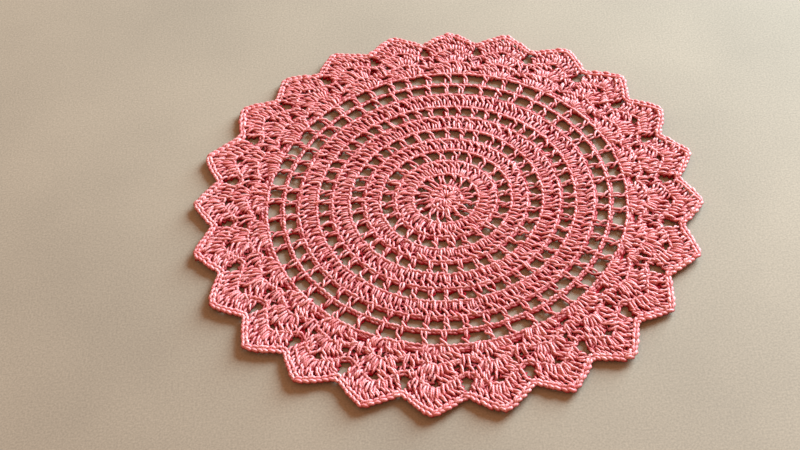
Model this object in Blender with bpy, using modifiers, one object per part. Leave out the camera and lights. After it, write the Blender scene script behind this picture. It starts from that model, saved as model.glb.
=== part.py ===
"""A round lace doily, crocheted in one piece and lying flat.

Rounds of close double crochet alternate with openwork rounds, and the border is a ring of pointed
scallops. The sheet is one flat outline with its gaps, extruded to the thickness of the crochet. The
openwork rounds are thinner than the close ones, and the points of the border stand a little off the
surface. The origin is the middle of the underside. Sizes are in metres and angles in degrees, unless
a column says otherwise.
"""

import math
from collections import namedtuple

import bmesh
import bpy

MM = 0.001

SCALLOPS = 24
TIP_RADIUS = 150 * MM          # middle to the point of an even scallop
NOTCH_RADIUS = 137.5 * MM      # middle to the notch between two scallops
THICKNESS = 2.6 * MM           # a close round of double crochet
OPEN_THICKNESS = 2.0 * MM      # an openwork round, where fewer strands cross
FIRST_TIP = 82.5               # angle of the first point, from +X towards +Y
BORDER_START = 105 * MM        # inside this radius the rounds are true circles
RISE_START = 128 * MM          # inside this radius the underside is flat
POST_SWAY = 0.45               # how far a post of the openwork wanders along its round
POST_LEAN = 0.35               # how far its outer end leans from its inner end
GROOVE_MARGIN = 0.7 * MM       # a groove reaches this far past its gaps
GROOVE_TOP = 1.0 * MM          # and its cutter this far above the sheet
FLAT_WITHIN = 0.5              # faces this close to one plane are merged
SIDE = ((0.0, 1.0), (1.1, 0.93), (4.1, 0.54), (6.3, 0.17))  # a scallop's side: degrees from its point, share of its depth

# Openwork rounds, from the middle outwards. inner and outer are the radii of the gaps, post is the width
# of the bar between two gaps, turn is the angle of the first bar, points is the corners of a gap.
OpenRound = namedtuple("OpenRound", "name gaps inner outer post turn points")
OPEN_ROUNDS = (
    OpenRound("spokes", 16, 11.3 * MM, 18.8 * MM, 3.1 * MM, 4.0, 4),
    OpenRound("mesh_1", 24, 31.6 * MM, 38.3 * MM, 3.2 * MM, 0.1, 6),
    OpenRound("mesh_2", 36, 49.7 * MM, 56.4 * MM, 3.2 * MM, 4.3, 6),
    OpenRound("mesh_3", 52, 68.9 * MM, 75.6 * MM, 3.2 * MM, 2.1, 6),
    OpenRound("mesh_4", 52, 88.6 * MM, 95.0 * MM, 3.3 * MM, 1.9, 8),
    OpenRound("mesh_5", 52, 98.0 * MM, 105.3 * MM, 3.3 * MM, 1.4, 8),
)

# Corners of a gap by their number: share of the way outwards, and share of the way across.
GAP_SHAPES = {
    4: ((0, 0), (1, 0), (1, 1), (0, 1)),
    6: ((0, 0.16), (0.5, 0), (1, 0.16), (1, 0.84), (0.5, 1), (0, 0.84)),
    8: ((0, 0.2), (0.2, 0), (0.8, 0), (1, 0.2), (1, 0.8), (0.8, 1), (0.2, 1), (0, 0.8)),
}

# Grooves that thin the openwork rounds. Each spans the gaps of the rounds from first to last.
Groove = namedtuple("Groove", "name first last sides")
GROOVES = (
    Groove("groove_spokes", 0, 0, 24),
    Groove("groove_mesh_1", 1, 1, 32),
    Groove("groove_mesh_2", 2, 2, 40),
    Groove("groove_mesh_3", 3, 3, 48),
    Groove("groove_mesh_4_5", 4, 5, 60),
)

# Gaps of the border, one each for every scallop. offset is in steps of a scallop from its point.
BorderGap = namedtuple("BorderGap", "name offset inner outer width points")
BORDER_GAPS = (
    BorderGap("eye", 0.5, 126.0 * MM, 132.6 * MM, 7.0 * MM, 6),
    BorderGap("fan_heart", 0.0, 127.2 * MM, 131.8 * MM, 4.8 * MM, 4),
)

# The points of the border, clockwise seen from above. reach is middle to point, swing turns the point
# anticlockwise, rise lifts it off the surface.
Tip = namedtuple("Tip", "reach_mm swing rise_mm")
TIPS = (
    Tip(144, 1.0, 1.0),
    Tip(145, 1.0, 1.5),
    Tip(147, -0.5, 1.0),
    Tip(148, -1.5, 1.5),
    Tip(149, -1.0, 2.0),
    Tip(149, -1.0, 1.5),
    Tip(149, -1.0, 1.0),
    Tip(150, -1.5, 2.0),
    Tip(150, -2.5, 1.5),
    Tip(153, -2.5, 2.0),
    Tip(152, -1.5, 1.5),
    Tip(152, -1.0, 2.5),
    Tip(151, -0.5, 2.0),
    Tip(151, 0.0, 2.5),
    Tip(151, 0.0, 3.0),
    Tip(152, 1.0, 2.5),
    Tip(152, 2.0, 3.0),
    Tip(150, 2.0, 2.0),
    Tip(149, 2.5, 2.5),
    Tip(151, 2.5, 1.5),
    Tip(150, 0.5, 2.0),
    Tip(147, 1.5, 1.5),
    Tip(146, 2.0, 2.0),
    Tip(145, 1.0, 1.0),
)

SCALLOP_STEP = 360 / SCALLOPS
COTTON = (0.72, 0.13, 0.15, 1.0)


def smooth(share):
    """0 below 0, 1 above 1, and an S-curve between."""
    share = min(max(share, 0.0), 1.0)
    return share * share * (3 - 2 * share)


def border_at(angle):
    """The reach, swing and rise of the border at an angle, blended between the two nearest points."""
    steps = (FIRST_TIP - angle) / SCALLOP_STEP % SCALLOPS
    before = TIPS[int(steps) % SCALLOPS]
    after = TIPS[(int(steps) + 1) % SCALLOPS]
    share = smooth(steps - int(steps))
    return Tip(*(a + share * (b - a) for a, b in zip(before, after)))


def place(radius, angle):
    """A point of the even pattern, moved as the border's uneven points pull it."""
    border = border_at(angle)
    pull = smooth((radius - BORDER_START) / (TIP_RADIUS - BORDER_START))
    radius *= 1 + pull * (border.reach_mm * MM / TIP_RADIUS - 1)
    turned = math.radians(angle + pull * border.swing)
    return (radius * math.cos(turned), radius * math.sin(turned))


def outline():
    """The scalloped edge: for each scallop its notch, then the points of its two sides round its tip."""
    points = []
    for scallop in range(SCALLOPS):
        tip = FIRST_TIP - scallop * SCALLOP_STEP
        points.append(place(NOTCH_RADIUS, tip + SCALLOP_STEP / 2))
        side = [(away, NOTCH_RADIUS + share * (TIP_RADIUS - NOTCH_RADIUS)) for away, share in SIDE]
        points += [place(radius, tip + away) for away, radius in reversed(side)]
        points += [place(radius, tip - away) for away, radius in side[1:]]
    return points


def post_angle(row, index, end):
    """The angle of a bar of the openwork, from its inner end (0) to its outer end (1)."""
    sway = POST_SWAY * math.sin(2.4 * index + 1.7 * row.gaps)
    lean = POST_LEAN * math.sin(3.7 * index + row.outer / MM) * (end - 0.5)
    return row.turn + index * 360 / row.gaps + sway + lean


def mesh_gap(row, index):
    """One gap between two bars: a quadrilateral whose corners are cut where the yarn rounds them."""
    after = (index + 1) % row.gaps
    full_turn = 360 if after == 0 else 0
    loop = []
    for out, across in GAP_SHAPES[row.points]:
        radius = row.inner + out * (row.outer - row.inner)
        half_bar = math.degrees(row.post / 2 / radius)
        low = post_angle(row, index, out) + half_bar
        high = post_angle(row, after, out) + full_turn - half_bar
        loop.append(place(radius, low + across * (high - low)))
    return loop


def border_gap(gap, scallop):
    """One gap of the border: a ring of corners round the middle of the gap, longest outwards."""
    angle = FIRST_TIP - (scallop + gap.offset) * SCALLOP_STEP
    middle = (gap.inner + gap.outer) / 2
    half_length = (gap.outer - gap.inner) / 2
    half_width = math.degrees(gap.width / 2 / middle)
    points = []
    for corner in range(gap.points):
        turn = math.tau * corner / gap.points
        points.append(place(middle + half_length * math.cos(turn), angle + half_width * math.sin(turn)))
    return points


def collection(name):
    made = bpy.data.collections.new(name)
    bpy.context.scene.collection.children.link(made)
    return made


def cotton():
    material = bpy.data.materials.new("cotton_yarn")
    material.use_nodes = True
    shader = material.node_tree.nodes["Principled BSDF"]
    shader.inputs["Base Color"].default_value = COTTON
    shader.inputs["Roughness"].default_value = 0.8
    shader.inputs["Metallic"].default_value = 0.0
    return material


def flat_sheet(loops, thickness):
    """A mesh of the filled outline, with every further loop left open, from z = 0 to the thickness."""
    drawn = bpy.data.curves.new("sheet_outline", "CURVE")
    drawn.dimensions = "2D"
    drawn.fill_mode = "BOTH"
    drawn.extrude = thickness / 2
    for loop in loops:
        spline = drawn.splines.new("POLY")
        spline.points.add(len(loop) - 1)
        for point, (x, y) in zip(spline.points, loop):
            point.co = (x, y, 0, 1)
        spline.use_cyclic_u = True
    guide = bpy.data.objects.new("sheet_outline", drawn)
    bpy.context.scene.collection.objects.link(guide)
    guide.location.z = thickness / 2
    bpy.context.view_layer.update()
    evaluated = guide.evaluated_get(bpy.context.evaluated_depsgraph_get())
    mesh = bpy.data.meshes.new_from_object(evaluated)
    mesh.transform(guide.matrix_world)
    bpy.data.objects.remove(guide)
    bpy.data.curves.remove(drawn)
    weld(mesh)
    return mesh


def weld(mesh):
    """Joins the caps to the walls and turns every face outwards."""
    work = bmesh.new()
    work.from_mesh(mesh)
    bmesh.ops.remove_doubles(work, verts=work.verts, dist=0.01 * MM)
    bmesh.ops.recalc_face_normals(work, faces=work.faces)
    work.to_mesh(mesh)
    work.free()


def even_faces(mesh):
    """Merges the faces of each flat, and splits it again into triangles of even shape."""
    work = bmesh.new()
    work.from_mesh(mesh)
    bmesh.ops.dissolve_limit(
        work, angle_limit=math.radians(FLAT_WITHIN), verts=work.verts, edges=work.edges
    )
    bmesh.ops.triangulate(work, faces=work.faces)
    work.normal_update()
    level = [edge for edge in work.edges if all(abs(face.normal.z) > 0.9 for face in edge.link_faces)]
    bmesh.ops.beautify_fill(work, faces=work.faces, edges=level, method="AREA")
    work.to_mesh(mesh)
    work.free()


def lift_border(mesh):
    """Raises the outer border, top and underside alike, most at the points."""
    for vertex in mesh.vertices:
        x, y, z = vertex.co
        border = border_at(math.degrees(math.atan2(y, x)))
        share = smooth((math.hypot(x, y) - RISE_START) / (border.reach_mm * MM - RISE_START))
        vertex.co.z = z + share * border.rise_mm * MM


def groove_cutter(groove, home):
    """A turned ring that takes the top off an openwork round."""
    inner = OPEN_ROUNDS[groove.first].inner - GROOVE_MARGIN
    outer = OPEN_ROUNDS[groove.last].outer + GROOVE_MARGIN
    low, high = OPEN_THICKNESS, THICKNESS + GROOVE_TOP
    profile = bpy.data.meshes.new(groove.name)
    corners = [(outer, 0, high), (outer, 0, low), (inner, 0, low), (inner, 0, high)]
    profile.from_pydata(corners, [(0, 1), (1, 2), (2, 3), (3, 0)], [])
    cutter = bpy.data.objects.new(groove.name, profile)
    home.objects.link(cutter)
    turn = cutter.modifiers.new("turn", "SCREW")
    turn.steps = turn.render_steps = groove.sides
    turn.use_merge_vertices = True
    turn.merge_threshold = 0.0001
    cutter.hide_render = True
    cutter.display_type = "WIRE"
    return cutter


def build():
    for old in list(bpy.data.objects):
        bpy.data.objects.remove(old)
    parts = collection("lace_doily")
    cutters = collection("cutters")
    loops = [outline()]
    for row in OPEN_ROUNDS:
        loops += [mesh_gap(row, index) for index in range(row.gaps)]
    for gap in BORDER_GAPS:
        loops += [border_gap(gap, scallop) for scallop in range(SCALLOPS)]
    mesh = flat_sheet(loops, THICKNESS)
    mesh.materials.append(cotton())
    doily = bpy.data.objects.new("doily", mesh)
    parts.objects.link(doily)
    for groove in GROOVES:
        cut = doily.modifiers.new(groove.name, "BOOLEAN")
        cut.operation = "DIFFERENCE"
        cut.solver = "EXACT"
        cut.object = groove_cutter(groove, cutters)
    bpy.context.view_layer.update()
    evaluated = doily.evaluated_get(bpy.context.evaluated_depsgraph_get())
    grooved = bpy.data.meshes.new_from_object(evaluated)
    doily.modifiers.clear()
    doily.data = grooved
    bpy.data.meshes.remove(mesh)
    even_faces(grooved)
    lift_border(grooved)


build()
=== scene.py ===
import math

import bpy
import numpy as np
from mathutils import Matrix, Vector


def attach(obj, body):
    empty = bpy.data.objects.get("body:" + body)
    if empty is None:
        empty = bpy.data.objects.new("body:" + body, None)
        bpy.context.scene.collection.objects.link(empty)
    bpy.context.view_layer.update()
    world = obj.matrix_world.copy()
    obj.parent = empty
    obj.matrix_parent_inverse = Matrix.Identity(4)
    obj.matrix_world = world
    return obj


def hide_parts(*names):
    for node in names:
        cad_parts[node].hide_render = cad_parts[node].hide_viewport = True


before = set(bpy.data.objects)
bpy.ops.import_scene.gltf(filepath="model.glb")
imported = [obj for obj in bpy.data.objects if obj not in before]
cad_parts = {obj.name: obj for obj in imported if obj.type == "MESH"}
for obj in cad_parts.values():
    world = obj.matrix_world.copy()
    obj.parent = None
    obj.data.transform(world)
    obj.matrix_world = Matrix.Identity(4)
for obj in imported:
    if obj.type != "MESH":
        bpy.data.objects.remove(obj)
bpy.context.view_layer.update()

# A lace doily in crocheted cotton. Every strand is a round tube carried along its own path through its
# stitch. The pattern is laid out even and flat, in millimetres and degrees, and settled at the end.
mm = 0.001
chance = np.random.default_rng(11)
print("frame loaded")

doily = {
    "scallops": 24,
    "tipRadius": 150.0,  # middle to the point of an even scallop
    "firstTip": 82.5,  # angle of the first point, from +X towards +Y
    "borderStart": 105.0,  # inside this radius the rounds are true circles
    "riseStart": 128.0,  # inside this radius the doily lies flat
    "riseShare": 0.5,  # how much of the points' rise the yarn follows
    "flatSize": (0.2965, 0.2944),  # metres
}

# The points of the border, clockwise seen from above: reach from the middle, turn anticlockwise, rise.
tips = np.array(
    [
        (144, 1.0, 1.0), (145, 1.0, 1.5), (147, -0.5, 1.0), (148, -1.5, 1.5), (149, -1.0, 2.0),
        (149, -1.0, 1.5), (149, -1.0, 1.0), (150, -1.5, 2.0), (150, -2.5, 1.5), (153, -2.5, 2.0),
        (152, -1.5, 1.5), (152, -1.0, 2.5), (151, -0.5, 2.0), (151, 0.0, 2.5), (151, 0.0, 3.0),
        (152, 1.0, 2.5), (152, 2.0, 3.0), (150, 2.0, 2.0), (149, 2.5, 2.5), (151, 2.5, 1.5),
        (150, 0.5, 2.0), (147, 1.5, 1.5), (146, 2.0, 2.0), (145, 1.0, 1.0),
    ]
)
scallopStep = 360 / doily["scallops"]
tipAngles = doily["firstTip"] - scallopStep * np.arange(doily["scallops"])


def smooth(share):
    # 0 below 0, 1 above 1 and an S-curve between: three times the square less twice the cube
    share = np.clip(share, 0, 1)
    return share * share * (3 - 2 * share)


def sampleCurve(corners, count):
    # count places on a smooth curve through the corners: between two of them, the cubic that passes
    # through both and leaves each in the direction from the corner before it to the corner after it
    corners = np.array(corners, float)
    ends = np.vstack([2 * corners[0] - corners[1], corners, 2 * corners[-1] - corners[-2]])
    along = np.linspace(0, len(corners) - 1, count)
    step = np.minimum(along.astype(int), len(corners) - 2)
    t = (along - step)[:, None]
    a, b, c, d = (ends[step + i] for i in range(4))
    bend = 2 * a - 5 * b + 4 * c - d
    twist = 3 * b - a - 3 * c + d
    return 0.5 * (2 * b + (c - a) * t + bend * t**2 + twist * t**3)


def polar(radius, angle):
    # radius times the cosine and the sine of the angle
    turned = np.radians(angle)
    return np.stack([radius * np.cos(turned), radius * np.sin(turned)], axis=-1)


def settle(points):
    # The even pattern as the doily lies. Between two neighbouring points of the border, reach, turn and
    # rise go from one's to the other's on an S-curve. The radius is stretched by the reach as a share of
    # tipRadius, and the angle turned, from nothing at borderStart to all of it at tipRadius. Its share of
    # the rise is added in the same way, from riseStart to the reach.
    radius = np.hypot(points[..., 0], points[..., 1])
    angle = np.degrees(np.arctan2(points[..., 1], points[..., 0]))
    steps = (doily["firstTip"] - angle) / scallopStep % doily["scallops"]
    before = steps.astype(int) % doily["scallops"]
    after = (before + 1) % doily["scallops"]
    share = smooth(steps - np.floor(steps))[..., None]
    reach, swing, rise = np.moveaxis(tips[before] + share * (tips[after] - tips[before]), -1, 0)
    pull = smooth((radius - doily["borderStart"]) / (doily["tipRadius"] - doily["borderStart"]))
    radius = radius * (1 + pull * (reach / doily["tipRadius"] - 1))
    flat = polar(radius, angle + pull * swing)
    risen = smooth((radius - doily["riseStart"]) / (reach - doily["riseStart"]))
    lift = risen * rise * doily["riseShare"]
    return np.concatenate([flat, (points[..., 2] + lift)[..., None]], axis=-1)


yarn = {
    "radius": 0.76,  # of a strand of thickness 1
    "sides": 6,
    "middle": 1.48,  # height of the middle of the crochet
    "loose": 0.11,  # unevenness of a strand across its stitch, in parts of its width
    "looseAlong": 0.7,  # and along it, as a share of loose
    "uneven": 0.2,  # and in height, in millimetres
    "wander": 0.30,  # how far a strand strays from its path, in millimetres
    "bend": 0.3,  # and how far the middle of its stitch does
    "low": 1.6,  # yarn as low as this lies in the shade of the yarn above, and
    "high": 3.2,  # yarn as high as this doesn't
    "clear": 0.02,  # between the lowest yarn and the floor
}

# A double crochet in strands: rings, thickness, and the path as (u, v, w), with u across in stitch widths,
# v from foot 0 to head 1 and w up in millimetres.
stitchStrands = {
    "leg": (9, 0.90, (
        (0.10, 0.22, -0.66), (0.06, -0.02, -0.60), (0.03, -0.12, 0.00), (0.04, 0.02, 0.70),
        (0.09, 0.18, 1.05), (0.13, 0.34, 0.98), (0.13, 0.47, 0.45), (0.10, 0.60, -0.30),
    )),
    "sideLeg": (7, 0.82, (
        (-0.10, 0.60, -0.45), (-0.28, 0.47, 0.35), (-0.38, 0.33, 0.80), (-0.43, 0.17, 0.82),
        (-0.46, 0.02, 0.45), (-0.46, -0.07, -0.15), (-0.42, -0.03, -0.60),
    )),
    "wrap": (10, 0.92, (
        (-0.28, 0.33, -0.45), (-0.49, 0.39, -0.10), (-0.44, 0.47, 0.42), (-0.22, 0.57, 0.95),
        (0.05, 0.69, 1.18), (0.26, 0.82, 0.95), (0.35, 0.93, 0.15), (0.27, 0.98, -0.50),
    )),
    "yarnOver": (8, 0.80, (
        (0.00, 0.50, -0.40), (-0.30, 0.60, 0.05), (-0.42, 0.70, 0.62), (-0.36, 0.82, 0.88),
        (-0.26, 0.93, 0.55), (-0.22, 1.02, -0.15), (-0.24, 0.96, -0.60),
    )),
}

# The same stitch behind: the yarn crossing from side to side.
crossingPath = (
    (-0.50, 0.06, -0.42), (0.50, 0.20, -0.48), (-0.50, 0.36, -0.44), (0.50, 0.52, -0.48),
    (-0.50, 0.68, -0.44), (0.50, 0.82, -0.48), (-0.50, 0.95, -0.42),
)
backStrands = {"crossing": (7, 1.35, crossingPath)}


def stitches(feet, heads, widths, middle, depth=1.0, bow=0.0, strands=stitchStrands):
    # The strands of double crochets: foot plus v of the way to the head, plus u widths across, with the
    # width going from the foot's to the head's, and w times depth above the middle. bow moves each
    # stitch's middle across, in millimetres, on a parabola that is nothing at its foot and head.
    count = len(feet)
    footWidth, headWidth = widths
    out = heads - feet
    unit = out / np.linalg.norm(out, axis=1, keepdims=True)
    across = np.stack([-unit[:, 1], unit[:, 0]], axis=1)
    bends = chance.normal(size=count)
    runs = []
    for rings, thickness, path in strands.values():
        u, v, w = sampleCurve(path, rings).T
        u = u + yarn["loose"] * chance.normal(size=(count, 1))
        v = v + yarn["looseAlong"] * yarn["loose"] * chance.normal(size=(count, 1))
        width = footWidth + (headWidth - footWidth) * v
        bowed = (np.reshape(bow, (-1, 1)) + yarn["bend"] * bends[:, None]) * 4 * v * (1 - v)
        aside = u * width + bowed
        flat = feet[:, None] + out[:, None] * v[..., None] + across[:, None] * aside[..., None]
        height = middle + depth * w + yarn["uneven"] * chance.normal(size=(count, 1))
        knots = max(3, rings // 2)
        strays = yarn["wander"] * chance.normal(size=(count, knots, 2))
        flat = flat + np.einsum("sk,ckx->csx", sampleCurve(np.eye(knots), rings), strays)
        runs.append((thickness, np.concatenate([flat, height[..., None]], axis=-1)))
    return runs


chain = {
    "half": 0.82,  # from the middle of a chain to the middle of either arm of its links
    "lineHalf": 1.25,  # half the width of a line of chain
    "loose": 0.09,  # unevenness of a link along the chain, in link lengths
    "open": 0.16,  # of how wide it opens, as a share
    "aside": 0.13,  # and sideways, in millimetres
    "uneven": 0.16,  # and in height
    "coreThickness": 0.95,  # the yarn hidden low inside a line of chain
    "coreMiddle": 0.78,  # height of its middle
    "coreOut": 0.45,  # from the line's own radius outwards
    "coreUneven": 0.04,
    "coreRings": 2.6,  # rings for each millimetre of its radius
    # rings, thickness, and a link's path as (s, t, w): s along in link lengths, t outwards in halves, w up
    "link": (11, 1.14, (
        (-0.36, 0.34, -0.55), (-0.12, 0.20, -0.25), (0.24, 0.62, 0.06), (0.62, 1.16, 0.10),
        (0.96, 0.90, -0.40), (1.02, 0.00, -0.50), (0.84, -0.86, 0.10), (0.44, -1.14, 0.82),
        (0.02, -0.54, 0.50), (-0.34, 0.00, -0.45),
    )),
}


def linkRow(starts, ends, middle, half, link=chain["link"]):
    # A chain link from each start to its end, a loop drawn out of the one before it: start plus s of the
    # way to the end, plus t times half outwards, and w above the middle.
    rings, thickness, path = link
    s, t, w = sampleCurve(path, rings).T
    count = len(starts)
    ahead = ends - starts
    unit = ahead / np.linalg.norm(ahead, axis=1, keepdims=True)
    outward = np.stack([unit[:, 1], -unit[:, 0]], axis=1)
    along = s + chain["loose"] * chance.normal(size=(count, 1))
    opened = half * t * (1 + chain["open"] * chance.normal(size=(count, 1)))
    aside = opened + chain["aside"] * chance.normal(size=(count, 1))
    flat = starts[:, None] + ahead[:, None] * along[..., None] + outward[:, None] * aside[..., None]
    height = middle + w + chain["uneven"] * chance.normal(size=(count, 1))
    return thickness, np.concatenate([flat, height[..., None]], axis=-1)


def closedChain(line, count, middle, half=chain["half"], link=chain["link"]):
    # even links all along a closed line: each begins at its number's share of the line's length
    steps = np.linalg.norm(np.roll(line, -1, axis=0) - line, axis=1)
    travelled = np.concatenate([[0], np.cumsum(steps)])
    closed = np.vstack([line, line[:1]])
    at = np.arange(count) / count * travelled[-1]
    starts = np.stack([np.interp(at, travelled, closed[:, i]) for i in (0, 1)], axis=-1)
    return linkRow(starts, np.roll(starts, -1, axis=0), middle, half, link)


def ring(radius, start=0.0):
    # a circle from the start angle, with a place at every half degree
    return polar(radius, start + np.arange(720) / 2)


def core(radius):
    # the hidden yarn: a circle begun at an angle by chance, a little uneven in height
    turned = np.linspace(0, 360, int(radius * chain["coreRings"])) + chance.uniform(0, 360)
    height = chain["coreMiddle"] + chain["coreUneven"] * chance.normal(size=turned.size)
    path = np.concatenate([polar(radius, turned), height[:, None]], axis=1)
    return chain["coreThickness"], path[None]


def sweep(paths, thickness):
    # A ring of corners round every place of every path: the place plus the radius times the cosine of the
    # turn one way and its sine the other, both square to the path. The first way is the next ring's too,
    # less its part along the path there, so that the tube doesn't twist.
    anyWay = (0.31, 0.42, 0.85)  # any direction that isn't along a strand's start
    ahead = np.gradient(paths, axis=1)
    ahead /= np.linalg.norm(ahead, axis=-1, keepdims=True)
    normal = np.empty_like(paths)
    carried = np.cross(ahead[:, 0], anyWay)
    for step in range(paths.shape[1]):
        along = (carried * ahead[:, step]).sum(-1, keepdims=True)
        carried = carried - along * ahead[:, step]
        carried /= np.linalg.norm(carried, axis=-1, keepdims=True)
        normal[:, step] = carried
    binormal = np.cross(ahead, normal)
    turn = (np.arange(yarn["sides"]) * math.tau / yarn["sides"])[:, None]
    around = normal[:, :, None] * np.cos(turn) + binormal[:, :, None] * np.sin(turn)
    return (paths[:, :, None] + thickness * yarn["radius"] * around).reshape(-1, 3)


def tubeFaces(count, rings, first):
    # the quads from each ring to the next and the two end caps of every tube, with the number of its
    # first corner: how many corners each face has, and which
    sides = yarn["sides"]
    grid = first + np.arange(count * rings * sides).reshape(count, rings, sides)
    nextSide = np.roll(grid, -1, axis=2)
    quads = np.stack([grid[:, :-1], nextSide[:, :-1], nextSide[:, 1:], grid[:, 1:]], axis=-1)
    caps = np.concatenate([grid[:, 0, ::-1], grid[:, -1]])
    sizes = [np.full(quads.size // 4, 4), np.full(len(caps), sides)]
    return sizes, [quads.ravel(), caps.ravel()]


def strandUv(paths):
    # U is the share of the turn round the strand, V the way along it in centimetres, begun by chance
    count, rings = paths.shape[:2]
    sides = yarn["sides"]
    steps = np.linalg.norm(np.diff(paths, axis=1, prepend=paths[:, :1]), axis=-1)
    travelled = (np.cumsum(steps, axis=1) + chance.uniform(0, 10, size=(count, 1))) / 10
    shape = (count, rings - 1, sides)
    low = np.broadcast_to(travelled[:, :-1, None], shape)
    high = np.broadcast_to(travelled[:, 1:, None], shape)
    left = np.broadcast_to(np.arange(sides) / sides, shape)
    right = left + 1 / sides
    u = np.stack([left, right, right, left], -1)
    v = np.stack([low, low, high, high], -1)
    capV = np.repeat(np.concatenate([travelled[:, 0], travelled[:, -1]]), sides)
    return [np.stack([u, v], -1).reshape(-1, 2), np.stack([np.zeros_like(capV), capV], -1)]


def tubeMesh(name, runs, material):
    # One closed tube along every path of each run (thickness, paths), all in one mesh. Each strand has
    # one tone by chance, and each corner its height as a share from low to high, which the material
    # uses for painted shade on the lower yarn.
    corners, sizes, loops, uvs, tones, heights = [], [], [], [], [], []
    first = 0
    for thickness, paths in runs:
        count, rings = paths.shape[:2]
        corners.append(sweep(paths, thickness))
        runSizes, runLoops = tubeFaces(count, rings, first)
        sizes += runSizes
        loops += runLoops
        uvs += strandUv(paths)
        tones.append(np.repeat(chance.uniform(0, 1, size=count), rings * yarn["sides"]))
        heights.append(smooth((corners[-1][:, 2] - yarn["low"]) / (yarn["high"] - yarn["low"])))
        first += len(corners[-1])
    points = settle(np.vstack(corners)) * mm
    points[:, 2] = np.maximum(points[:, 2], yarn["clear"] * mm)
    sizes, loops = np.concatenate(sizes), np.concatenate(loops)
    loopStarts = np.concatenate([[0], np.cumsum(sizes)[:-1]])
    mesh = bpy.data.meshes.new(name)
    mesh.vertices.add(len(points))
    mesh.vertices.foreach_set("co", points.astype(np.float32).ravel())
    mesh.loops.add(len(loops))
    mesh.loops.foreach_set("vertex_index", loops.astype(np.int32))
    mesh.polygons.add(len(sizes))
    mesh.polygons.foreach_set("loop_start", loopStarts.astype(np.int32))
    mesh.polygons.foreach_set("use_smooth", np.ones(len(sizes), bool))
    strandMap = mesh.uv_layers.new(name="strand")
    strandMap.data.foreach_set("uv", np.vstack(uvs).astype(np.float32).ravel())
    for label, values in (("tone", tones), ("height", heights)):
        values = np.concatenate(values).astype(np.float32)
        mesh.attributes.new(label, "FLOAT", "POINT").data.foreach_set("value", values)
    mesh.update(calc_edges=True)
    mesh.validate()
    mesh.materials.append(material)
    made = bpy.data.objects.new(name, mesh)
    bpy.context.scene.collection.objects.link(made)
    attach(made, "root")
    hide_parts("doily")
    print(name, "triangles", int((sizes - 2).sum()))
    return made


def maths(tree, operation, first, second=None):
    # a Math node whose inputs are numbers, or linked where they are sockets
    node = tree.nodes.new("ShaderNodeMath")
    node.operation = operation
    for socket, value in zip(node.inputs, (first, second)):
        if isinstance(value, (int, float)):
            socket.default_value = value
        elif value is not None:
            tree.links.new(value, socket)
    return node.outputs[0]


def mixed(tree, factor, low, high):
    # from low where the factor is 0 to high where it is 1, each a colour or a socket
    node = tree.nodes.new("ShaderNodeMix")
    node.data_type = "RGBA"
    tree.links.new(factor, node.inputs["Factor"])
    for label, value in (("A", low), ("B", high)):
        if isinstance(value, tuple):
            node.inputs[label].default_value = (*value, 1)
        else:
            tree.links.new(value, node.inputs[label])
    return node.outputs["Result"]


def plyTwistGroup():
    # The ridges of twisted plies: the size of the sine of pi times (plies times the share of the turn
    # round the strand, plus turns times the way along it).
    group = bpy.data.node_groups.new("plyTwist", "ShaderNodeTree")
    for label in ("Plies", "Turns"):
        group.interface.new_socket(label, in_out="INPUT", socket_type="NodeSocketFloat")
    group.interface.new_socket("Ridge", in_out="OUTPUT", socket_type="NodeSocketFloat")
    given = group.nodes.new("NodeGroupInput")
    result = group.nodes.new("NodeGroupOutput")
    uv = group.nodes.new("ShaderNodeUVMap")
    uv.uv_map = "strand"
    split = group.nodes.new("ShaderNodeSeparateXYZ")
    group.links.new(uv.outputs["UV"], split.inputs[0])
    turned = maths(group, "MULTIPLY", split.outputs["X"], given.outputs["Plies"])
    walked = maths(group, "MULTIPLY", split.outputs["Y"], given.outputs["Turns"])
    phase = maths(group, "MULTIPLY", maths(group, "ADD", turned, walked), math.pi)
    ridge = maths(group, "ABSOLUTE", maths(group, "SINE", phase))
    group.links.new(ridge, result.inputs["Ridge"])
    return group


cotton = {
    "plies": 3,  # ridges round a strand
    "turns": 7,  # ridges along each centimetre of it
    "dull": (0.92, 0.30, 0.30),  # the strands' colours go from this
    "bright": (1.0, 0.50, 0.48),  # to this
    # painted shade: the colour between two plies, where the crease is shaded
    "groove": (0.82, 0.215, 0.22),  # between two plies
    # painted shade: the colour of the lowest yarn, standing in for the shade of the yarn above it
    "lowShade": (0.34, 0.006, 0.014),  # where the yarn lies lowest
    "roughness": 0.9,
    "specular": 0.02,
    "sheen": 0.65,  # weight of the thin coat on the highest yarn
    "sheenRoughness": 0.46,
    "ridge": 0.45,  # strength of the plies' bump
    "ridgeDepth": 0.0003,  # metres
}


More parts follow.
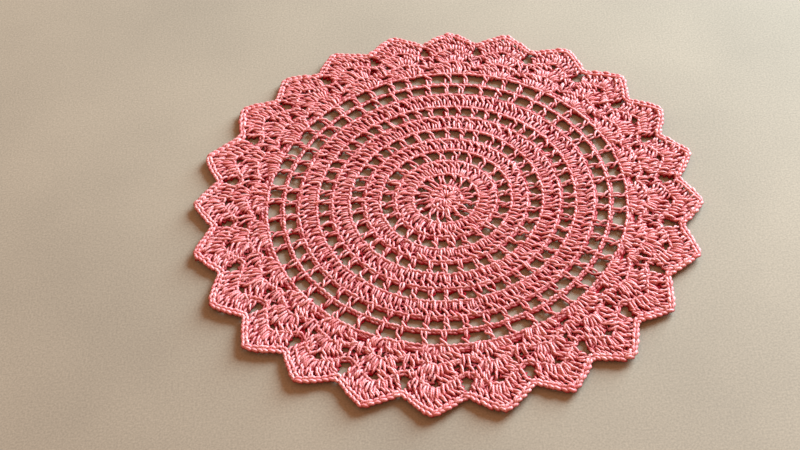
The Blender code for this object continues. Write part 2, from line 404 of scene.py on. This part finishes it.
def cottonMaterial():
    # colour from the strand's tone, with painted shade in the grooves between the plies and deepest on the
    # lowest yarn, where the coat also thins, as painted shade on its reflection
    made = bpy.data.materials.new("cottonYarn")
    made.use_nodes = True
    tree = made.node_tree
    shader = tree.nodes["Principled BSDF"]
    shader.inputs["Roughness"].default_value = cotton["roughness"]
    shader.inputs["Specular IOR Level"].default_value = cotton["specular"]
    shader.inputs["Coat Roughness"].default_value = cotton["sheenRoughness"]
    twist = tree.nodes.new("ShaderNodeGroup")
    twist.node_tree = plyTwistGroup()
    twist.inputs["Plies"].default_value = cotton["plies"]
    twist.inputs["Turns"].default_value = cotton["turns"]
    ridge = twist.outputs["Ridge"]
    tone = tree.nodes.new("ShaderNodeAttribute")
    tone.attribute_name = "tone"
    height = tree.nodes.new("ShaderNodeAttribute")
    height.attribute_name = "height"
    strand = mixed(tree, tone.outputs["Fac"], cotton["dull"], cotton["bright"])
    # painted shade in the grooves between the plies
    plied = mixed(tree, ridge, cotton["groove"], strand)
    # painted shade: towards lowShade where the height is low
    shaded = mixed(tree, height.outputs["Fac"], cotton["lowShade"], plied)
    tree.links.new(shaded, shader.inputs["Base Color"])
    # the coat fades on low yarn, as painted shade on its reflection
    sheen = maths(tree, "MULTIPLY", height.outputs["Fac"], cotton["sheen"])
    tree.links.new(sheen, shader.inputs["Coat Weight"])
    bump = tree.nodes.new("ShaderNodeBump")
    bump.inputs["Strength"].default_value = cotton["ridge"]
    bump.inputs["Distance"].default_value = cotton["ridgeDepth"]
    tree.links.new(ridge, bump.inputs["Height"])
    tree.links.new(bump.outputs["Normal"], shader.inputs["Normal"])
    return made


cottonYarn = cottonMaterial()
print("cotton ready")

# The openwork. Each of its rounds has its gaps, their inner and outer radius, the angle of the first post,
# chain links from post to post, and the width of a post.
openColumns = ("gaps", "inner", "outer", "firstPost", "links", "postWidth")
openWork = {
    "rounds": {
        "spokes": (16, 11.3, 18.8, 4.0, 3, 3.3),
        "mesh1": (24, 31.6, 38.3, 0.1, 3, 3.9),
        "mesh2": (36, 49.7, 56.4, 4.3, 3, 4.0),
        "mesh3": (52, 68.9, 75.6, 2.1, 3, 3.8),
        "mesh4": (52, 88.6, 95.0, 1.9, 4, 4.0),
        "mesh5": (52, 98.0, 105.3, 1.4, 4, 4.0),
    },
    "middle": 1.55,  # height of the middle of the posts
    "depth": 0.95,  # how deep they are beside a stitch of the close rounds
    "sway": 0.45,  # how far a post wanders along its round, in degrees
    "swayPace": 2.4,  # radians from post to post
    "swayShift": 1.7,  # and for each gap in the round
    "lean": 0.35,  # how far its outer end leans from its inner end, in degrees
    "leanPace": 3.7,  # radians from post to post
    "backWidth": 0.5,  # of the yarn behind a post, as a share of its own
    "backDrop": 0.1,  # how much lower it lies
    "backStrands": {"crossing": (6, 0.85, crossingPath)},
}
openRounds = {name: dict(zip(openColumns, row)) for name, row in openWork["rounds"].items()}
roundNames = list(openRounds)

# Where the stitches inside an open round end and those outside it begin. The last two share one chain.
ridgeRadius = {name: openRounds[name]["inner"] - chain["lineHalf"] for name in roundNames}
chainRadius = {name: openRounds[name]["outer"] + chain["lineHalf"] for name in roundNames}
sharedChain = (openRounds["mesh4"]["outer"] + openRounds["mesh5"]["inner"]) / 2
ridgeRadius["mesh5"] = chainRadius["mesh4"] = sharedChain

closeWork = {
    "middleStitches": 16,
    "middleFoot": 2.4,  # radius of the ring that they are worked into
    "bandStitches": (48, 72, 104, 136),  # in the bands from the middle outwards
}


def closeRound(count, foot, head):
    # Stitches at even angles from the foot's radius to the head's, each as wide as its share of the circle,
    # with a chain along their heads. The yarn behind them is returned by itself.
    angle = np.arange(count) * 360 / count
    widths = tuple(math.tau * radius / count for radius in (foot, head))
    feet, heads = polar(foot, angle), polar(head, angle)
    fronts = stitches(feet, heads, widths, yarn["middle"])
    backs = stitches(feet, heads, widths, yarn["middle"], strands=backStrands)
    return fronts + [closedChain(ring(head), count, yarn["middle"])], backs


middleEnds = (closeWork["middleFoot"], ridgeRadius["spokes"])
closeRuns, closeBacks = closeRound(closeWork["middleStitches"], *middleEnds)
for bandStitches, inside, outside in zip(closeWork["bandStitches"], roundNames, roundNames[1:]):
    fronts, backs = closeRound(bandStitches, chainRadius[inside], ridgeRadius[outside])
    closeRuns += fronts
    closeBacks += backs
closePiece = tubeMesh("closeRounds", closeRuns, cottonYarn)
closeBehind = tubeMesh("closeRoundsBehind", closeBacks, cottonYarn)
print("close rounds worked")


def postAngle(row, end):
    # even angles, plus a sway by the sine of the post's number, plus a lean by another sine that takes the
    # inner end, 0, one way and the outer end, 1, the other
    index = np.arange(row["gaps"])
    swing = np.sin(openWork["swayPace"] * index + openWork["swayShift"] * row["gaps"])
    tilt = np.sin(openWork["leanPace"] * index + row["outer"])
    even = row["firstPost"] + index * 360 / row["gaps"]
    return even + openWork["sway"] * swing + openWork["lean"] * tilt * (end - 0.5)


openRuns, openBacks = [], []
for roundName, row in openRounds.items():
    foot, head = ridgeRadius[roundName], chainRadius[roundName]
    ends = polar(foot, postAngle(row, 0)), polar(head, postAngle(row, 1))
    widths = (row["postWidth"], row["postWidth"])
    backWidths = tuple(openWork["backWidth"] * width for width in widths)
    backMiddle = openWork["middle"] - openWork["backDrop"]
    openRuns += stitches(*ends, widths, openWork["middle"], openWork["depth"])
    openBacks += stitches(
        *ends, backWidths, backMiddle, openWork["depth"], strands=openWork["backStrands"]
    )
    line = ring(head, row["firstPost"])
    openRuns += [closedChain(line, row["gaps"] * row["links"], openWork["middle"])]
    openBacks += [core(head + chain["coreOut"])]
    if roundName != "mesh5":
        openBacks += [core(foot + chain["coreOut"])]
openPiece = tubeMesh("openRounds", openRuns, cottonYarn)
openBehind = tubeMesh("openRoundsBehind", openBacks, cottonYarn)
print("open rounds worked")

# Lines of the border as (share of a scallop from its point, radius), the same on both sides of the point.
borderLines = {
    "base": ((0.0, chainRadius["mesh5"]), (0.5, chainRadius["mesh5"])),
    "line1": ((0.0, 119.4), (0.07, 118.8), (0.16, 117.6), (0.36, 116.4), (0.44, 114.4), (0.5, 113.2)),
    "line2": (
        (0.0, 134.2), (0.06, 133.7), (0.12, 131.9), (0.22, 129.9), (0.34, 127.4), (0.42, 125.2),
        (0.5, 123.4),
    ),
    "edge": ((0.0, 148.6), (0.05, 147.8), (0.25, 142.9), (0.42, 138.5), (0.5, 136.5)),
    "edgeFeet": ((0.0, 146.8), (0.05, 146.0), (0.25, 141.1), (0.42, 136.9), (0.5, 135.0)),
}
lineTips = {name: line[0][1] for name, line in borderLines.items()}  # radius of each line at a point
halfScallop = math.radians(scallopStep / 2)

# The longer and thicker stitch of the fans: legs below, and two wraps across them above.
fanStrands = {
    "leg": (9, 0.98, (
        (0.10, 0.20, -0.66), (0.05, -0.02, -0.60), (0.02, -0.09, 0.00), (0.03, 0.03, 0.70),
        (0.08, 0.16, 1.06), (0.14, 0.32, 0.98), (0.18, 0.44, 0.45), (0.16, 0.53, -0.35),
    )),
    "sideLeg": (7, 0.84, (
        (-0.12, 0.54, -0.50), (-0.32, 0.43, 0.30), (-0.44, 0.29, 0.46), (-0.48, 0.12, 0.02),
        (-0.46, -0.02, -0.36), (-0.44, -0.03, -0.58),
    )),
    "wrap": (8, 0.94, (
        (-0.42, 0.36, -0.45), (-0.54, 0.42, 0.20), (-0.36, 0.51, 0.90), (0.02, 0.62, 1.12),
        (0.31, 0.72, 0.72), (0.40, 0.79, -0.05), (0.30, 0.82, -0.55),
    )),
    "cap": (8, 0.90, (
        (-0.44, 0.62, -0.40), (-0.54, 0.69, 0.22), (-0.38, 0.80, 0.86), (-0.04, 0.92, 1.00),
        (0.22, 1.00, 0.50), (0.28, 1.04, -0.15), (0.20, 1.01, -0.60),
    )),
}


def lineRadius(name, share):
    # the radius of a border line at a share of a scallop from a point, either way
    away, radius = sampleCurve(borderLines[name], 80).T
    return np.interp(np.abs((share + 0.5) % 1 - 0.5), away, radius)


def onLine(name, x):
    # places on a line at x millimetres from each scallop's middle, measured round at the point's radius
    share = np.degrees(x / lineTips[name]) / scallopStep
    return polar(lineRadius(name, share), tipAngles[:, None] + share * scallopStep).reshape(-1, 2)


def fan(shape):
    # A fan in each scallop. On either side of its middle, feet and heads stand on their lines from near to
    # far, at near plus a power of the share of the way to far. Stitches bow towards the middle by the bow
    # times the square of the share that is left.
    share = np.arange(shape["aSide"]) / (shape["aSide"] - 1)
    oneFan = np.concatenate([(1 - share[::-1]) ** 2, -((1 - share) ** 2)])
    bows = np.tile(oneFan, doily["scallops"]) * shape["bow"]
    ends = []
    for line, near, far, power in (shape["feet"], shape["heads"]):
        x = near + (far - near) * share**power
        ends.append(onLine(line, np.concatenate([-x[::-1], x])))
    fronts = stitches(*ends, shape["widths"], yarn["middle"], bow=bows, strands=fanStrands)
    backs = stitches(*ends, shape["backWidths"], yarn["middle"], bow=bows, strands=backStrands)
    return fronts + backs


def borderChain(name, links, middle=yarn["middle"], half=chain["half"], link=chain["link"]):
    # a closed chain on a border line, which is read at sixty places a scallop
    share = np.arange(0, doily["scallops"], 1 / 60)
    line = polar(lineRadius(name, share), doily["firstTip"] + share * scallopStep)
    return closedChain(line, links, middle, half, link)


innerFan = {
    "aSide": 5,  # stitches on either side of its middle
    "feet": ("base", 0.9, 7.8, 1.0),  # line, near, far and power
    "heads": ("line1", 3.4, 13.0, 1.0),
    "bow": 0.8,
    "widths": (1.9, 2.8),  # of a stitch at its foot and head
    "backWidths": (2.4, 3.2),
    "links": 240,  # in the chain along the heads
    "arcRadius": 109.0,  # the short chain across from fan to fan
    "arcReach": 6.6,  # from its middle to either end
    "arcLinks": 4,
    "arcDrop": 0.35,  # how much lower it lies than the other chains
    "arcHalf": 0.75,  # as a share of a chain's
}
innerRuns = fan(innerFan) + [borderChain("line1", innerFan["links"])]
arcReach, arcRadius = innerFan["arcReach"], innerFan["arcRadius"]
arcX = np.linspace(-arcReach, arcReach, innerFan["arcLinks"] + 1) + halfScallop * arcRadius
arcStarts, arcEnds = (
    polar(arcRadius, tipAngles[:, None] + np.degrees(x / arcRadius)).reshape(-1, 2)
    for x in (arcX[:-1], arcX[1:])
)
arcMiddle, arcHalf = yarn["middle"] - innerFan["arcDrop"], innerFan["arcHalf"] * chain["half"]
innerRuns += [linkRow(arcStarts, arcEnds, arcMiddle, arcHalf)]
innerFans = tubeMesh("innerFans", innerRuns, cottonYarn)

middleFan = {
    "aSide": 5,
    "feet": ("line1", 0.7, 6.2, 1.0),
    "heads": ("line2", 5.4, 13.0, 1.0),
    "bow": 2.3,
    "widths": (1.6, 2.6),
    "backWidths": (3.2, 2.8),
    "links": 264,
    "legFeet": 1.4,  # from the middle between two fans to either leg there
    "legHeads": 3.1,
    "legWidths": (2.4, 3.4),
    "legBackWidths": (4.0, 6.0),
}
middleRuns = fan(middleFan) + [borderChain("line2", middleFan["links"])]
legEnds = [
    onLine(line, np.array([-apart, apart]) + halfScallop * lineTips[line])
    for line, apart in (("line1", middleFan["legFeet"]), ("line2", middleFan["legHeads"]))
]
middleRuns += stitches(*legEnds, middleFan["legWidths"], yarn["middle"])
middleRuns += stitches(*legEnds, middleFan["legBackWidths"], yarn["middle"], strands=backStrands)
middleFans = tubeMesh("middleFans", middleRuns, cottonYarn)

outerFan = {
    "aSide": 7,
    "feet": ("line2", 1.0, 12.4, 1.3),
    "heads": ("edgeFeet", 1.2, 16.8, 1.0),
    "bow": 0.0,
    "widths": (1.8, 2.7),
    "backWidths": (2.0, 2.9),
}
outerFans = tubeMesh("outerFans", fan(outerFan), cottonYarn)
print("fans worked")

rimChain = {
    "links": 312,
    "half": 1.22,
    "middle": 1.75,
    "link": (12, 1.42, (
        (-0.36, 0.30, -0.55), (-0.10, 0.26, -0.02), (0.26, 0.62, 0.50), (0.62, 1.08, 0.48),
        (0.98, 0.92, -0.20), (1.02, 0.10, -0.50), (0.82, -0.72, -0.05), (0.42, -1.02, 0.70),
        (0.02, -0.66, 0.42), (-0.34, -0.16, -0.45),
    )),
}
rimShape = (rimChain[name] for name in ("links", "middle", "half", "link"))
rim = tubeMesh("rim", [borderChain("edge", *rimShape)], cottonYarn)
print("rim worked")

view = {
    "lens": 61.608,
    "sensor": 36,
    "nearest": 0.01,  # what is closer than this isn't seen
    "elevation": 49.42,  # how steeply it looks down
    "roll": -5.66,
    "offset": (0.02697, 0.01425, -0.80697),  # metres right, up and back from it to the doily's middle
}


def lookDown():
    # The rows of tilted are the camera's right, up and back when it looks down by the elevation, and
    # rolled turns right and up about back. It stands so that the doily's middle is at the offset.
    tilt, roll = math.radians(view["elevation"]), math.radians(view["roll"])
    tilted = Matrix(((1, 0, 0), (0, math.sin(tilt), math.cos(tilt)), (0, -math.cos(tilt), math.sin(tilt))))
    rolled = Matrix(((math.cos(roll), math.sin(roll), 0), (-math.sin(roll), math.cos(roll), 0), (0, 0, 1)))
    turned = (rolled @ tilted).transposed()
    lens = bpy.data.cameras.new("camera")
    lens.lens = view["lens"]
    lens.sensor_width = view["sensor"]
    lens.clip_start = view["nearest"]
    made = bpy.data.objects.new("camera", lens)
    made.matrix_world = Matrix.Translation(-(turned @ Vector(view["offset"]))) @ turned.to_4x4()
    bpy.context.scene.collection.objects.link(made)
    bpy.context.scene.camera = made


lookDown()

ground = {
    "half": 8,  # metres from its middle to its sides
    "colour": (0.370, 0.290, 0.207),
    "roughness": 0.8,
    "clouds": (7, 4, 0.90, 1.10),  # scale and detail of the noise, and the shades from and to
    "grain": (900, 2, 0.86, 1.14),
    "noiseRange": (0.3, 0.7),  # the noise that becomes those two shades
}


def floorMaterial():
    # a plain pale cloth: its colour times broad faint clouds times a fine grain
    made = bpy.data.materials.new("floorPaint")
    made.use_nodes = True
    tree = made.node_tree
    shader = tree.nodes["Principled BSDF"]
    shader.inputs["Roughness"].default_value = ground["roughness"]
    place = tree.nodes.new("ShaderNodeTexCoord")
    shades = []
    for size, detail, dark, pale in (ground["clouds"], ground["grain"]):
        noise = tree.nodes.new("ShaderNodeTexNoise")
        noise.inputs["Scale"].default_value = size
        noise.inputs["Detail"].default_value = detail
        tree.links.new(place.outputs["Object"], noise.inputs["Vector"])
        spread = tree.nodes.new("ShaderNodeMapRange")
        limits = (*ground["noiseRange"], dark, pale)
        for label, value in zip(("From Min", "From Max", "To Min", "To Max"), limits):
            spread.inputs[label].default_value = value
        tree.links.new(noise.outputs["Fac"], spread.inputs["Value"])
        shades.append(spread.outputs["Result"])
    tinted = tree.nodes.new("ShaderNodeVectorMath")
    tinted.operation = "SCALE"
    tinted.inputs["Vector"].default_value = ground["colour"]
    tree.links.new(maths(tree, "MULTIPLY", *shades), tinted.inputs["Scale"])
    tree.links.new(tinted.outputs["Vector"], shader.inputs["Base Color"])
    return made


floorMesh = bpy.data.meshes.new("floor")
floorCorners = [(x * ground["half"], y * ground["half"], 0) for x, y in ((-1, -1), (1, -1), (1, 1), (-1, 1))]
floorMesh.from_pydata(floorCorners, [], [(0, 1, 2, 3)])
floorMesh.materials.append(floorMaterial())
floor = bpy.data.objects.new("floor", floorMesh)
bpy.context.scene.collection.objects.link(floor)

light = {
    "power": 120,  # watts
    "size": 1.15,  # metres, as its place is
    "colour": (0.74, 1.03, 1.20),
    "place": (1.28, 1.17, 0.68),
    "room": (1.0, 0.56, 0.34),  # the light from all round
    "roomStrength": 0.60,
}
world = bpy.data.worlds.new("studio")
world.use_nodes = True
background = world.node_tree.nodes["Background"]
background.inputs["Color"].default_value = (*light["room"], 1)
background.inputs["Strength"].default_value = light["roomStrength"]
bpy.context.scene.world = world
lamp = bpy.data.lights.new("key", "AREA")
lamp.energy = light["power"]
lamp.size = light["size"]
lamp.color = light["colour"]
key = bpy.data.objects.new("key", lamp)
key.location = light["place"]
key.rotation_euler = (-key.location).to_track_quat("-Z", "Y").to_euler()
bpy.context.scene.collection.objects.link(key)
bpy.context.scene.view_settings.view_transform = "Standard"
print("studio ready")
